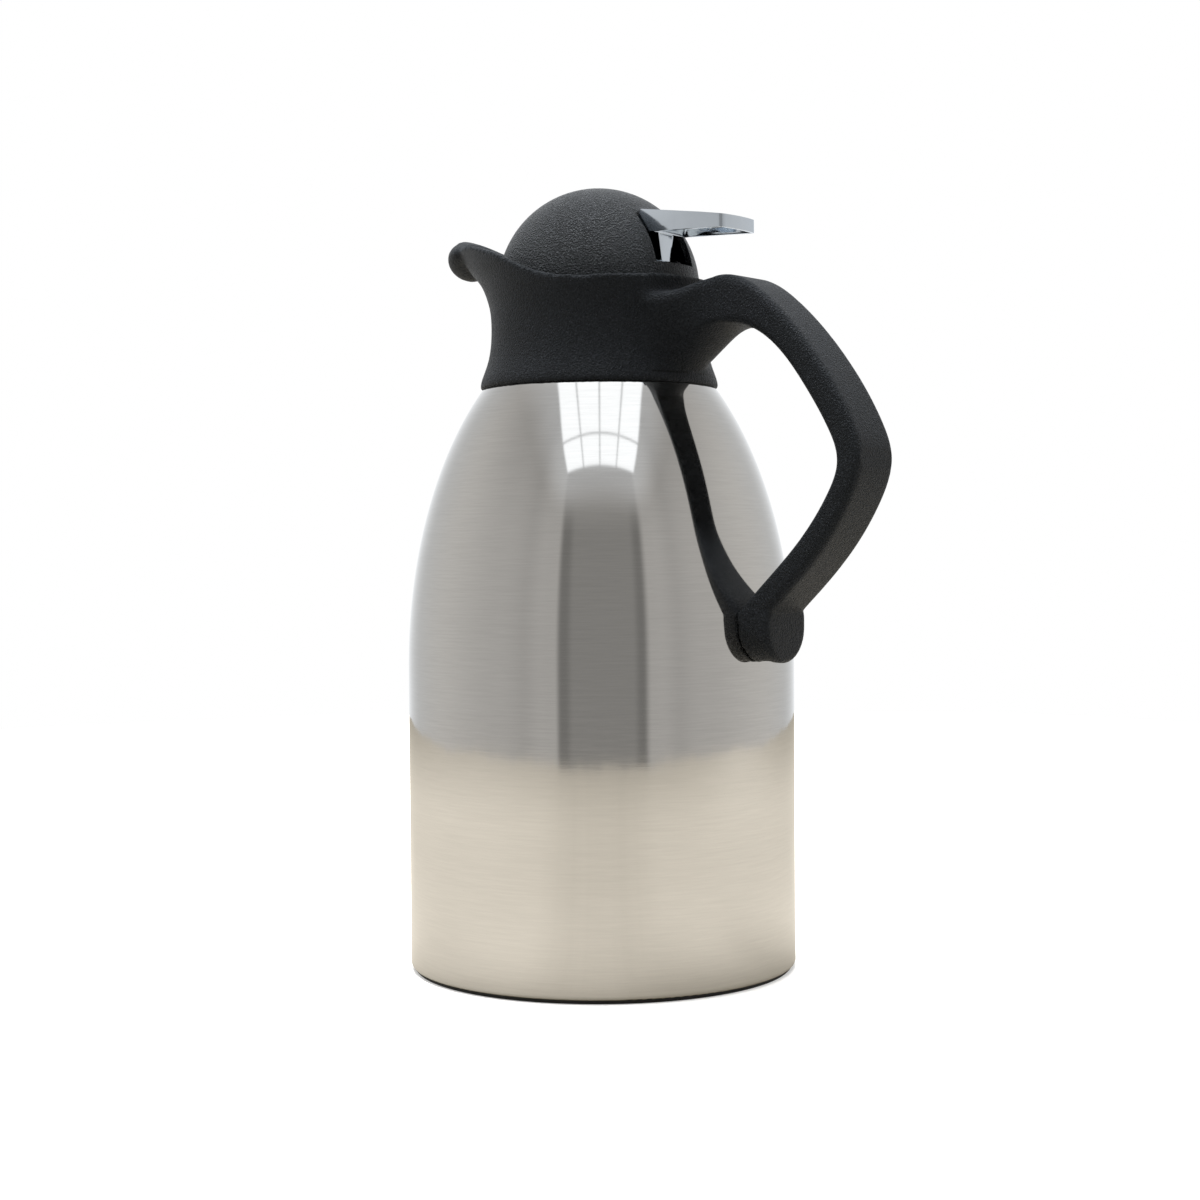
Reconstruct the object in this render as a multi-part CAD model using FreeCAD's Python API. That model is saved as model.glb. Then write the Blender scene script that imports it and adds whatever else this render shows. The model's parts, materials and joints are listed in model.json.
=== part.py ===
import FreeCAD, Part
import math
import os

# Thermal carafe. The axis of the body is Z, the handle lies on +X and the spout on -X.
# The origin is the centre of the base. All lengths are millimetres.

# Steel shell
shell_radius = 74.5
shell_wall = 0.8
shell_bottom = 2.8
shell_straight_top = 115.0
shoulder_top = 233.37
neck_radius = 36.0
neck_top = 239.2
bead_bottom = 235.2
bead_height = 2.0
bead_depth = 1.1

# Floor pan, closed at the centre by the seal over the evacuation hole
base_plane = 1.3
pan_ring_step = 3.0
pan_dish_flank = 4.0
pan_dish_height = 7.3
evacuation_hole = 1.5
seal_radius = 4.0
seal_thickness = 1.0

# Base cap and foot
cap_gap = 0.3
cap_thickness = 1.8
cap_rib_radius = 40.0
cap_rib_width = 2.0
foot_width = 6.0
foot_bottom_chamfer = 0.4

# Inner flask
vacuum_gap = 8.0
neck_gap = 3.2
flask_wall = 0.8
flask_floor = 20.0
flask_corner = 12.0
flask_shoulder_top = 223.74
getter_radius = 6.0
getter_height = 4.0

# Collar and spout
collar_edge = 1.09
collar_radius = 45.6
collar_wall = 2.8
collar_socket_radius = 38.0
ledge_radius = 33.0
ledge_thickness = 2.0
bore_radius = 39.0
bore_top = 257.5
rim_height = 261.7
lip_height = 285.4
spout_reach = 69.0
spout_sharpness = 3
spout_narrowing = 0.25
curl_radius = 6.8
curl_end_radius = 1.2
curl_half_angle = 25.0
curl_inset = 3.2
curl_lift = 0.2
channel_reach = 64.0
channel_step = 0.4

# Rings between collar and shell
gasket_thickness = 1.2
gasket_inset = 0.3
snap_ring_width = 3.0
snap_ring_thickness = 1.5
snap_ring_play = 0.1
snap_ring_split = 9.0
shoulder_seal_inner = 42.6
shoulder_seal_outer = 44.2
shoulder_seal_height = 1.6

# Quick thread between collar and stopper, four starts
thread_starts = 4
thread_lead = 30.0
rib_thickness = 2.2
rib_flank_gap = 0.35
rib_half_angle = 22.0
rib_root = 1.3
rib_start_angle = 45.0
collar_rib_height = 254.5
rib_tip_gap = 0.35
stopper_rib_depth = 1.8

# Stopper
stopper_radius = 36.5
stopper_wall = 2.2
stopper_bottom = 224.0
stopper_floor = 2.4
plunger_radius = 29.5
plunger_wall = 2.0
plunger_shoulder_gap = 1.2
port_radius = 9.0
window_height = 2.2
window_lift = 0.2
window_count = 8
window_angle = 24.0
ceiling_bottom = 250.6
ceiling_thickness = 2.0
flange_radius = 38.6
flange_thickness = 2.0
stopper_top = 261.8
ring_groove_bottom = 234.0
ring_groove_height = 3.0
ring_groove_depth = 1.2
neck_fit = 0.3

# Deck that carries the lever
deck_radius = 36.2
deck_thickness = 2.4
tower_radius = 9.0
tower_bore = 7.0
tower_top = 269.6
tower_cap = 1.6
ear_inner = 7.0
ear_thickness = 2.0
ear_radius = 2.8

# Dome cover and its slot
dome_radius = 39.0
dome_wall = 2.4
dome_centre_height = 260.9
slot_half_width = 11.5
slot_sill = 268.0
slot_top = 289.3
slot_inner_x = 26.8
boss_radius = 3.0
boss_circle = 28.0
boss_count = 3
boss_first_angle = 100.0
boss_angle_step = 80.0

# Screws
screw_radius = 1.5
screw_head_radius = 2.8
screw_head_height = 1.6
dome_screw_length = 10.0
deck_screw_length = 9.0
deck_screw_circle = 31.5
deck_screw_count = 4
deck_screw_first_angle = 60.0
deck_screw_angle_step = 80.0
deck_boss_radius = 3.4

# Lever and its pin
pivot_x = 31.0
pivot_z = 267.4
pin_radius = 1.5
pin_overhang = 0.5
running_fit = 0.08
lever_half_width = 11.0
lever_inner_x = 27.5
lever_top_x = 29.0
lever_tip_x = 67.0
lever_top_tip = 282.5
lever_top_rise = 5.6
lever_bevel = 3.7
lever_depth = 4.8
lever_skirt_rise = 1.8
lever_skirt_x = 31.0
lever_skin = 1.5
lever_corner = 2.0
pocket_inner_x = 34.0
rib_width = 1.2
rib_relief = 1.6
lever_rib_shares = (0.3, 0.65)
leg_head_half_width = 5.0
leg_foot_half_width = 2.2
leg_half_thickness = 1.6
hub_radius = 2.6
hub_half_width = 6.6
arm_half_width = 6.2
arm_neck_x = 20.0
arm_thickness = 2.4
arm_bottom = 270.4
fork_gap = 3.0
fork_overrun = 3.0
fork_root_x = 6.0

# Valve
stem_radius = 3.0
stem_neck_radius = 2.4
stem_step = 253.9
stem_top = 278.0
stem_tail_radius = 2.2
stem_tail_bottom = 227.4
stem_disc_radius = 6.0
stem_disc_thickness = 1.5
plug_radius = 11.5
plug_thickness = 3.0
plug_nose_radius = 8.2
plug_nose_depth = 1.8
seat_gap = 0.1
lift_pin_radius = 1.2
lift_pin_half_length = 6.4
lift_pin_gap = 0.35
washer_radius = 6.2
washer_thickness = 1.0
spring_radius = 5.2
spring_wire = 0.8
spring_turns = 6
spring_end_gap = 0.1

# Handle
handle_reach = 49.0
handle_root_x = 38.0
handle_top = 260.2
handle_bottom = 119.5
handle_width = 24.4
handle_edge = 2.6
root_edge = 3.0
block_half_width = 12.5
block_reach = 11.3
block_top = 138.0
block_edge = 1.5

# Bracket, screw and plug inside the handle's lower block
bracket_bottom = 128.0
bracket_thickness = 4.0
bracket_half_width = 6.0
bracket_reach = 8.5
bracket_play = 0.3
handle_screw_reach = 4.7
handle_screw_radius = 1.6
handle_screw_end = 134.0
handle_screw_head_radius = 3.2
handle_screw_head_bottom = 122.0
handle_screw_head_height = 2.4
plug_hole_radius = 3.7
handle_plug_bottom = 120.3
handle_plug_height = 1.5

# How far a cutting shape runs past what it cuts
overrun = 5.0

# Edges this near to a plane count as lying on it
on_plane = 0.05

# Sizes that follow from the ones above
shoulder_rise = (shoulder_top - shell_straight_top) / math.sqrt(1 - (neck_radius / shell_radius) ** 2)
flask_radius = shell_radius - vacuum_gap
flask_neck_radius = neck_radius - neck_gap
flask_shoulder_share = math.sqrt(1 - (flask_neck_radius / flask_radius) ** 2)
flask_shoulder_rise = (flask_shoulder_top - shell_straight_top) / flask_shoulder_share
collar_shoulder = shell_straight_top + shoulder_rise * math.sqrt(1 - (collar_radius / shell_radius) ** 2)
collar_bottom = collar_shoulder + collar_edge
foot_outer = shell_radius - shell_bottom + base_plane
foot_inner = foot_outer - foot_width
pan_ring_inner = foot_inner - pan_ring_step
pan_dish_radius = pan_ring_inner - pan_dish_flank
lever_top_inner = lever_top_tip + lever_top_rise
lever_side_inner = lever_top_inner - lever_bevel
lever_skirt_tip = lever_top_tip - lever_depth
lever_skirt_inner = lever_skirt_tip + lever_skirt_rise
block_front = shell_radius + block_reach
bracket_end = shell_radius + bracket_reach
handle_screw_x = shell_radius + handle_screw_reach

V = FreeCAD.Vector
UP = V(0, 0, 1)
ACROSS = V(0, 1, 0)
OUT = V(1, 0, 0)
CENTRE = V(0, 0, 0)

# Collar sections from the bottom up. Each row holds the height as a share of the collar's
# height, the side radius as a share of the collar's radius, how far the spout has come out of
# the side radius on its way to its full reach, and how far it has narrowed.
collar_section_shares = (
    (0.0, 1.0, 0.0, 0.0),
    (0.05, 0.99, 0.0, 0.0),
    (0.11, 0.96, 0.0, 0.0),
    (0.2, 0.923, 0.0, 0.0),
    (0.29, 0.907, 0.0, 0.0),
    (0.37, 0.903, 0.0, 0.0),
    (0.45, 0.912, 0.028, 0.2),
    (0.53, 0.932, 0.088, 0.5),
    (0.6, 0.952, 0.156, 0.65),
    (0.66, 0.968, 0.252, 0.8),
    (0.73, 0.985, 0.43, 0.9),
    (0.8, 0.996, 0.615, 0.97),
    (0.88, 1.003, 0.775, 1.0),
    (0.95, 1.007, 0.9, 1.0),
    (1.1, 1.01, 1.0, 1.0),
)

# The channel inside the collar, from the top of the bore up, in shares of the same kind:
# height from bore top to lip, side radius from bore to collar inside, reach, narrowing.
channel_section_shares = (
    (0.0, 0.0, 0.0, 0.0),
    (0.16, 0.45, 0.17, 0.5),
    (0.4, 0.75, 0.43, 0.85),
    (0.65, 0.95, 0.69, 1.0),
    (0.9, 1.0, 0.93, 1.0),
    (1.2, 1.0, 1.0, 1.0),
)

# The rim seen from the side: x from the collar's radius (1 on the handle side) to the spout's
# reach (-1), and height from the rim (0) to the lip (1).
rim_shares = (
    (1.3, 0.0),
    (0.6, 0.0),
    (0.31, 0.01),
    (0.066, 0.114),
    (-0.119, 0.3),
    (-0.287, 0.494),
    (-0.455, 0.633),
    (-0.536, 0.688),
    (-0.614, 0.726),
    (-0.687, 0.751),
    (-0.754, 0.764),
    (-0.812, 0.772),
    (-0.862, 0.802),
    (-0.903, 0.869),
    (-0.957, 0.97),
    (-1.3, 1.0),
)

# Handle faces: distance from the shell (0) out to the reach (1) or in to the root's start (-1),
# height from bottom (0) to top (1).
handle_outer_shares = (
    (-0.452, 0.988),
    (-0.2, 1.0004),
    (-0.0334, 0.9895),
    (0.195, 0.9399),
    (0.637, 0.7742),
    (0.918, 0.6157),
    (1.0, 0.5252),
    (0.8955, 0.405),
    (0.586, 0.2536),
    (0.2316, 0.1315),
)
handle_inner_shares = (
    (-0.0668, 0.1278),
    (0.395, 0.2807),
    (0.731, 0.4343),
    (0.807, 0.5083),
    (0.725, 0.5973),
    (0.533, 0.7047),
    (0.213, 0.8315),
    (0.03, 0.8673),
    (-0.2326, 0.8775),
)

# Sections of the handle's root from the band to the collar, in the same shares: distance, top,
# half width at the top, height of the lower ridge, half width there, height of the keel.
# Half widths are shares of the handle's width.
root_section_shares = (
    (0.031, 0.9788, 0.488, 0.8755, 0.488, 0.8704),
    (-0.1778, 0.9987, 0.488, 0.8847, 0.492, 0.8714),
    (-0.3971, 0.9946, 0.529, 0.8796, 0.51, 0.853),
    (-0.5891, 0.9829, 0.615, 0.855, 0.5, 0.808),
    (-0.7808, 0.9706, 0.758, 0.8121, 0.48, 0.7722),
    (-1.0, 0.9614, 0.943, 0.7752, 0.46, 0.7517),
)


def polar(radius, degrees, height):
    angle = math.radians(degrees)
    return V(radius * math.cos(angle), radius * math.sin(angle), height)


def turned(points):
    """Solid of revolution about Z from a closed outline of (radius, height) corners."""
    corners = [V(r, 0, z) for r, z in points]
    outline = Part.makePolygon(corners + corners[:1])
    return Part.Face(outline).revolve(CENTRE, UP, 360)


def turned_edges(edges):
    outline = Part.Wire(Part.__sortEdges__(edges))
    return Part.Face(outline).revolve(CENTRE, UP, 360)


def line(start, end):
    return Part.LineSegment(start, end).toShape()


def arc(start, middle, end):
    return Part.Arc(start, middle, end).toShape()


def corner_arc(centre_r, centre_z, radius, first, last):
    """Arc in the XZ plane from one angle to another, in degrees from +X."""
    ends = [first, (first + last) / 2, last]
    points = []
    for degrees in ends:
        angle = math.radians(degrees)
        points.append(V(centre_r + radius * math.cos(angle), 0, centre_z + radius * math.sin(angle)))
    return arc(*points)


def spline(points):
    curve = Part.BSplineCurve()
    curve.interpolate(Points=points)
    return curve.toShape()


def rod(radius, bottom, top, x=0, y=0):
    return Part.makeCylinder(radius, top - bottom, V(x, y, bottom), UP)


def cross_rod(radius, half_length, x, z):
    return Part.makeCylinder(radius, 2 * half_length, V(x, -half_length, z), ACROSS)


def block(x0, x1, half_width, z0, z1):
    return Part.makeBox(x1 - x0, 2 * half_width, z1 - z0, V(x0, -half_width, z0))


def tube(outer, inner, bottom, top):
    return rod(outer, bottom, top).cut(rod(inner, bottom, top))


def shoulder_height(radius, side, rise):
    """Height at which the elliptical shoulder has come in to a radius."""
    return shell_straight_top + rise * math.sqrt(1 - (radius / side) ** 2)


def shoulder_edge(side, rise, radius):
    """The shoulder's quarter ellipse, from its straight side in to a radius."""
    foot = V(0, 0, shell_straight_top)
    ellipse = Part.Ellipse(foot + UP * rise, foot + OUT * side, foot)
    return Part.ArcOfEllipse(ellipse, math.asin(radius / side), math.pi / 2).toShape()


def largest_solid(shape):
    return max(shape.Solids, key=lambda solid: solid.Volume)


def one_solid(shape):
    """The largest solid of a boolean result, with its seams merged."""
    return largest_solid(shape).removeSplitter()


def shell_envelope():
    """The shell filled solid, which everything outside the shell is seated against."""
    neck_start = shoulder_height(neck_radius, shell_radius, shoulder_rise)
    corner = shell_bottom - base_plane
    edges = [
        line(V(0, 0, base_plane), V(shell_radius - corner, 0, base_plane)),
        corner_arc(shell_radius - corner, shell_bottom, corner, -90, 0),
        line(V(shell_radius, 0, shell_bottom), V(shell_radius, 0, shell_straight_top)),
        shoulder_edge(shell_radius, shoulder_rise, neck_radius),
        line(V(neck_radius, 0, neck_start), V(neck_radius, 0, neck_top)),
        line(V(neck_radius, 0, neck_top), V(0, 0, neck_top)),
        line(V(0, 0, neck_top), V(0, 0, base_plane)),
    ]
    return turned_edges(edges)


def outer_shell():
    inside = shell_radius - shell_wall
    inside_rise = shoulder_rise - shell_wall
    inside_neck = neck_radius - shell_wall
    neck_start = shoulder_height(neck_radius, shell_radius, shoulder_rise)
    inside_start = shoulder_height(inside_neck, inside, inside_rise)
    bead_radius = neck_radius + bead_depth
    bead_side = bead_depth / 2
    outline = [
        (neck_radius, neck_start),
        (neck_radius, bead_bottom),
        (bead_radius, bead_bottom + bead_side),
        (bead_radius, bead_bottom + bead_height - bead_side),
        (neck_radius, bead_bottom + bead_height),
        (neck_radius, neck_top),
        (inside_neck, neck_top),
        (inside_neck, inside_start),
    ]
    corners = [V(r, 0, z) for r, z in outline]
    edges = [line(a, b) for a, b in zip(corners, corners[1:])]
    edges += [
        shoulder_edge(inside, inside_rise, inside_neck),
        line(V(inside, 0, shell_straight_top), V(inside, 0, shell_bottom)),
        line(V(inside, 0, shell_bottom), V(shell_radius, 0, shell_bottom)),
        line(V(shell_radius, 0, shell_bottom), V(shell_radius, 0, shell_straight_top)),
        shoulder_edge(shell_radius, shoulder_rise, neck_radius),
    ]
    return turned_edges(edges)


def floor_pan():
    corner = shell_bottom - base_plane
    centre_r = shell_radius - corner
    top = base_plane + shell_wall
    dish_top = pan_dish_height + shell_wall
    points = [
        (centre_r, base_plane),
        (pan_ring_inner, base_plane),
        (pan_dish_radius, pan_dish_height),
        (evacuation_hole, pan_dish_height),
        (evacuation_hole, dish_top),
        (pan_dish_radius + shell_wall, dish_top),
        (pan_ring_inner + shell_wall, top),
        (centre_r, top),
    ]
    corners = [V(r, 0, z) for r, z in points]
    edges = [line(a, b) for a, b in zip(corners, corners[1:])]
    edges += [
        corner_arc(centre_r, shell_bottom, corner - shell_wall, -90, 0),
        line(V(shell_radius - shell_wall, 0, shell_bottom), V(shell_radius, 0, shell_bottom)),
        corner_arc(centre_r, shell_bottom, corner, -90, 0),
    ]
    return turned_edges(edges)


def vacuum_seal():
    return rod(seal_radius, pan_dish_height - seal_thickness, pan_dish_height)


def base_cap():
    """Disc that closes the dish, glued to it on a ring rib."""
    slope = (pan_ring_inner - pan_dish_radius) / (pan_dish_height - base_plane)
    top = base_plane + cap_thickness
    edge = pan_ring_inner - cap_gap
    rib_outer = cap_rib_radius + cap_rib_width
    outline = [
        (0, base_plane),
        (edge, base_plane),
        (edge - slope * cap_thickness, top),
        (rib_outer, top),
        (rib_outer, pan_dish_height),
        (cap_rib_radius, pan_dish_height),
        (cap_rib_radius, top),
        (0, top),
    ]
    return turned(outline)


def foot_ring():
    outline = [
        (foot_inner + foot_bottom_chamfer, 0),
        (foot_outer - foot_bottom_chamfer, 0),
        (foot_outer, foot_bottom_chamfer),
        (foot_outer, base_plane),
        (foot_inner, base_plane),
        (foot_inner, foot_bottom_chamfer),
    ]
    return turned(outline)


def flask_outline(side, rise, neck, floor, corner):
    """Edges of one face of the flask, from the edge of its floor to the top of its neck."""
    neck_start = shoulder_height(neck, side, rise)
    return [
        corner_arc(side - corner, floor + corner, corner, -90, 0),
        line(V(side, 0, floor + corner), V(side, 0, shell_straight_top)),
        shoulder_edge(side, rise, neck),
        line(V(neck, 0, neck_start), V(neck, 0, neck_top)),
    ]


def inner_flask():
    """Side, shoulder and neck, with a rolled flange that closes the neck of the outer shell."""
    inside = flask_radius - flask_wall
    inside_neck = flask_neck_radius - flask_wall
    rim = neck_top + flask_wall
    edges = flask_outline(flask_radius, flask_shoulder_rise, flask_neck_radius, flask_floor, flask_corner)
    edges += flask_outline(inside, flask_shoulder_rise - flask_wall, inside_neck,
                           flask_floor + flask_wall, flask_corner - flask_wall)
    edges += [
        line(V(flask_neck_radius, 0, neck_top), V(neck_radius, 0, neck_top)),
        line(V(neck_radius, 0, neck_top), V(neck_radius, 0, rim)),
        line(V(neck_radius, 0, rim), V(inside_neck, 0, rim)),
        line(V(inside_neck, 0, rim), V(inside_neck, 0, neck_top)),
        line(V(flask_radius - flask_corner, 0, flask_floor), V(flask_radius - flask_corner, 0, flask_floor + flask_wall)),
    ]
    return turned_edges(edges)


def inner_flask_floor():
    """Disc welded into the lower edge of the flask."""
    return rod(flask_radius - flask_corner, flask_floor, flask_floor + flask_wall)


def getter():
    return rod(getter_radius, flask_floor - getter_height, flask_floor)


def spout_point(side, reach, narrowing, from_spout, height):
    """Point of the mouth's outline: a circle about Z, drawn out to the reach on -X."""
    pull = math.cos(from_spout / 2) ** (2 * spout_sharpness)
    x = side * math.cos(from_spout) + (reach - side) * pull
    y = side * math.sin(from_spout) * (1 - narrowing * pull)
    return V(-x, -y, height)


def mouth_section(side, reach, narrowing, height):
    steps = 36
    points = [spout_point(side, reach, narrowing, 2 * math.pi * step / steps, height) for step in range(steps)]
    curve = Part.BSplineCurve()
    curve.interpolate(Points=points, PeriodicFlag=True, Parameters=[step / steps for step in range(steps + 1)])
    return Part.Wire(curve.toShape())


def collar_body():
    """Outside of collar and spout as one filled solid, before its mouth is trimmed."""
    rise = lip_height - collar_bottom
    sections = []
    for height_share, side_share, reach_share, narrow_share in collar_section_shares:
        side = collar_radius * side_share
        reach = side + (spout_reach - side) * reach_share
        sections.append(mouth_section(side, reach, spout_narrowing * narrow_share,
                                      collar_bottom + rise * height_share))
    return Part.makeLoft(sections, True, False)


def channel_body():
    """Inside of the mouth and spout, above the threaded bore."""
    rise = lip_height - bore_top
    start = bore_radius + channel_step
    mouth_side = collar_radius - collar_wall
    sections = []
    for height_share, side_share, reach_share, narrow_share in channel_section_shares:
        side = start + (mouth_side - start) * side_share
        reach = side + (channel_reach - side) * reach_share
        sections.append(mouth_section(side, reach, spout_narrowing * narrow_share,
                                      bore_top + rise * height_share))
    return Part.makeLoft(sections, True, False)


def rim_points():
    rise = lip_height - rim_height
    points = []
    for along, up in rim_shares:
        reach = collar_radius if along > 0 else spout_reach
        points.append((reach * along, rim_height + rise * up))
    return points


def rim_height_at(x):
    """Height of the rim above a place along the jug, between the two nearest points."""
    points = rim_points()
    for (x1, z1), (x0, z0) in zip(points, points[1:]):
        if x0 <= x <= x1:
            return z0 + (z1 - z0) * (x - x0) / (x1 - x0)
    return lip_height


def above_rim():
    """Everything above the curved rim, as one block to cut away."""
    half_width = 2 * collar_radius
    points = [V(x, -half_width, z) for x, z in rim_points()]
    top = lip_height + spout_reach
    first = V(points[0].x, -half_width, top)
    last = V(points[-1].x, -half_width, top)
    outline = Part.Wire([spline(points), line(points[-1], last), line(last, first), line(first, points[0])])
    return Part.Face(outline).extrude(ACROSS * 2 * half_width)


def spout_curl():
    """Rolled pouring edge: round sections that fade away along both sides of the spout."""
    steps = 8
    step_angle = math.radians(2 * curl_half_angle / steps)
    reach = spout_reach - curl_inset
    outline = [spout_point(collar_radius, reach, spout_narrowing, step_angle * (step - steps / 2), 0)
               for step in range(-1, steps + 2)]
    sections = []
    for step in range(steps + 1):
        before, place, after = outline[step:step + 3]
        radius = curl_end_radius + (curl_radius - curl_end_radius) * math.sin(math.pi * step / steps)
        centre = V(place.x, place.y, rim_height_at(place.x) - radius + curl_lift)
        sections.append(Part.Wire(Part.Circle(centre, after - before, radius).toShape()))
    return Part.makeLoft(sections, True, False)


def thread_rib(inner, outer, middle_height, middle_angle):
    """One short helical rib between two radii."""
    steps = 6
    half = rib_thickness / 2
    sections = []
    for step in range(steps + 1):
        turn = rib_half_angle * (2 * step / steps - 1)
        height = middle_height + thread_lead * turn / 360
        degrees = middle_angle + turn
        corners = [
            polar(inner, degrees, height - half),
            polar(outer, degrees, height - half),
            polar(outer, degrees, height + half),
            polar(inner, degrees, height + half),
        ]
        sections.append(Part.makePolygon(corners + corners[:1]))
    return Part.makeLoft(sections, True, False)


def thread_angles():
    return [rib_start_angle + 360 * start / thread_starts for start in range(thread_starts)]


def screw_places(circle, first_angle, angle_step, count):
    return [polar(circle, first_angle + angle_step * step, 0) for step in range(count)]


def deck_screw_places():
    return screw_places(deck_screw_circle, deck_screw_first_angle, deck_screw_angle_step, deck_screw_count)


def boss_places():
    return screw_places(boss_circle, boss_first_angle, boss_angle_step, boss_count)


def collar(envelope):
    channel = channel_body()
    ledge_bottom = neck_top + flask_wall + gasket_thickness
    ledge_top = ledge_bottom + ledge_thickness
    groove_bottom = bead_bottom - snap_ring_thickness - 2 * snap_ring_play
    groove_radius = neck_radius + snap_ring_play + snap_ring_width + snap_ring_play
    body = collar_body().cut(above_rim())
    body = body.cut(channel)
    body = body.cut(rod(bore_radius, ledge_top, bore_top))
    body = body.cut(rod(ledge_radius, ledge_bottom, ledge_top))
    body = body.cut(rod(collar_socket_radius, collar_bottom, ledge_bottom))
    body = body.cut(rod(groove_radius, groove_bottom, bead_bottom))
    body = body.cut(envelope)
    body = body.cut(shoulder_seal_space())
    for angle in thread_angles():
        rib = thread_rib(stopper_radius + rib_tip_gap, bore_radius + rib_root, collar_rib_height, angle)
        body = body.fuse(rib)
    body = body.fuse(spout_curl().cut(channel))
    return largest_solid(body)


def shoulder_seal_space():
    top = shoulder_height(shoulder_seal_outer, shell_radius, shoulder_rise) + shoulder_seal_height
    bottom = top - 2 * shoulder_rise * (shoulder_seal_outer - shoulder_seal_inner) / shell_radius
    return tube(shoulder_seal_outer, shoulder_seal_inner, bottom, top)


def shoulder_seal(envelope):
    return one_solid(shoulder_seal_space().cut(envelope))


def neck_gasket():
    bottom = neck_top + flask_wall
    inner = ledge_radius - gasket_inset
    return tube(neck_radius - gasket_inset, inner, bottom, bottom + gasket_thickness)


def snap_ring():
    """Split spring ring that holds the collar down under the neck's bead."""
    inner = neck_radius + snap_ring_play
    top = bead_bottom - snap_ring_play
    ring = tube(inner + snap_ring_width, inner, top - snap_ring_thickness, top)
    split = block(-2 * inner, 0, snap_ring_split / 2, top - snap_ring_thickness - overrun, top + overrun)
    return ring.cut(split)


def stopper_body():
    """Cup with a plunger below it, windows for pouring and a plate that keeps the lid dry."""
    ledge_top = neck_top + flask_wall + gasket_thickness + ledge_thickness
    shoulder = ledge_top + plunger_shoulder_gap
    shoulder_top = shoulder + stopper_wall
    cup_inner = stopper_radius - stopper_wall
    plunger_inner = plunger_radius - plunger_wall
    body = rod(stopper_radius, shoulder, stopper_top)
    body = body.fuse(rod(flange_radius, stopper_top - flange_thickness, stopper_top))
    body = body.fuse(rod(plunger_radius, stopper_bottom, shoulder))
    body = body.cut(rod(plunger_inner, stopper_bottom + stopper_floor, shoulder_top))
    body = body.cut(rod(cup_inner, shoulder_top, ceiling_bottom))
    body = body.cut(rod(cup_inner, ceiling_bottom + ceiling_thickness, stopper_top))
    body = body.cut(rod(port_radius, stopper_bottom, stopper_bottom + stopper_floor))
    body = body.cut(rod(stem_radius + running_fit, ceiling_bottom, ceiling_bottom + ceiling_thickness))
    groove_top = ring_groove_bottom + ring_groove_height
    groove_radius = plunger_radius - ring_groove_depth
    body = body.cut(tube(plunger_radius + overrun, groove_radius, ring_groove_bottom, groove_top))
    window_bottom = shoulder_top + window_lift
    for window in range(window_count):
        start = 360 * window / window_count - window_angle / 2
        opening = Part.makeCylinder(stopper_radius + stopper_wall, window_height,
                                    V(0, 0, window_bottom), UP, window_angle)
        opening.rotate(CENTRE, UP, start)
        body = body.cut(opening.cut(rod(plunger_inner, window_bottom, window_bottom + window_height)))
    for place in deck_screw_places():
        boss = rod(deck_boss_radius, ceiling_bottom + ceiling_thickness, stopper_top, place.x, place.y)
        body = body.fuse(boss)
        hole_bottom = stopper_top + deck_thickness - deck_screw_length
        body = body.cut(rod(screw_radius, hole_bottom, stopper_top, place.x, place.y))
    rib_height = collar_rib_height - rib_thickness - rib_flank_gap
    for angle in thread_angles():
        inner = stopper_radius - rib_root
        rib = thread_rib(inner, stopper_radius + stopper_rib_depth, rib_height, angle)
        body = body.fuse(rib)
    return one_solid(body)


def stopper_gasket():
    """Ring that turns freely in the stopper's groove and wipes the neck."""
    outer = flask_neck_radius - flask_wall - neck_fit
    inner = plunger_radius - ring_groove_depth + running_fit
    groove_top = ring_groove_bottom + ring_groove_height
    return tube(outer, inner, ring_groove_bottom + running_fit, groove_top - running_fit)


def lid_deck():
    top = stopper_top + deck_thickness
    body = rod(deck_radius, stopper_top, top)
    body = body.fuse(rod(tower_radius, stopper_top, tower_top))
    body = body.cut(rod(tower_bore, stopper_top, tower_top - tower_cap))
    body = body.cut(rod(stem_neck_radius + running_fit, stopper_top, tower_top))
    for side in (-1, 1):
        start = side * ear_inner if side > 0 else side * (ear_inner + ear_thickness)
        ear = Part.makeCylinder(ear_radius, ear_thickness, V(pivot_x, start, pivot_z), ACROSS)
        foot = Part.makeBox(2 * ear_radius, ear_thickness, pivot_z - top, V(pivot_x - ear_radius, start, top))
        body = body.fuse(ear).fuse(foot)
    body = body.cut(cross_rod(pin_radius, ear_inner + ear_thickness, pivot_x, pivot_z))
    for place in deck_screw_places():
        body = body.cut(rod(screw_radius, stopper_top, top, place.x, place.y))
    for place in boss_places():
        body = body.cut(rod(screw_radius, stopper_top, top, place.x, place.y))
    return one_solid(body)


def dome_cover():
    """Thin dome with a slot for the lever and three bosses for its screws."""
    middle = V(0, 0, dome_centre_height)
    outer = Part.makeSphere(dome_radius, middle)
    inner = Part.makeSphere(dome_radius - dome_wall, middle)
    body = outer.cut(inner)
    deck_top = stopper_top + deck_thickness
    for place in boss_places():
        boss = rod(boss_radius, deck_top, dome_centre_height + dome_radius, place.x, place.y)
        body = body.fuse(boss.common(outer))
    body = body.cut(rod(dome_radius + overrun, dome_centre_height - dome_radius - overrun, stopper_top))
    body = body.cut(block(slot_inner_x, dome_radius + overrun, slot_half_width, slot_sill, slot_top))
    for place in boss_places():
        body = body.cut(rod(screw_radius, deck_top, stopper_top + dome_screw_length, place.x, place.y))
    return one_solid(body)


def screw(radius, head_radius, head_height, head_start, tip, place):
    """Pan head screw whose head lies between head_start and the seat, and that ends at tip."""
    if tip > head_start:
        head = rod(head_radius, head_start, head_start + head_height, place.x, place.y)
        shank = rod(radius, head_start + head_height, tip, place.x, place.y)
    else:
        head = rod(head_radius, head_start - head_height, head_start, place.x, place.y)
        shank = rod(radius, tip, head_start - head_height, place.x, place.y)
    return head.fuse(shank)


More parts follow.
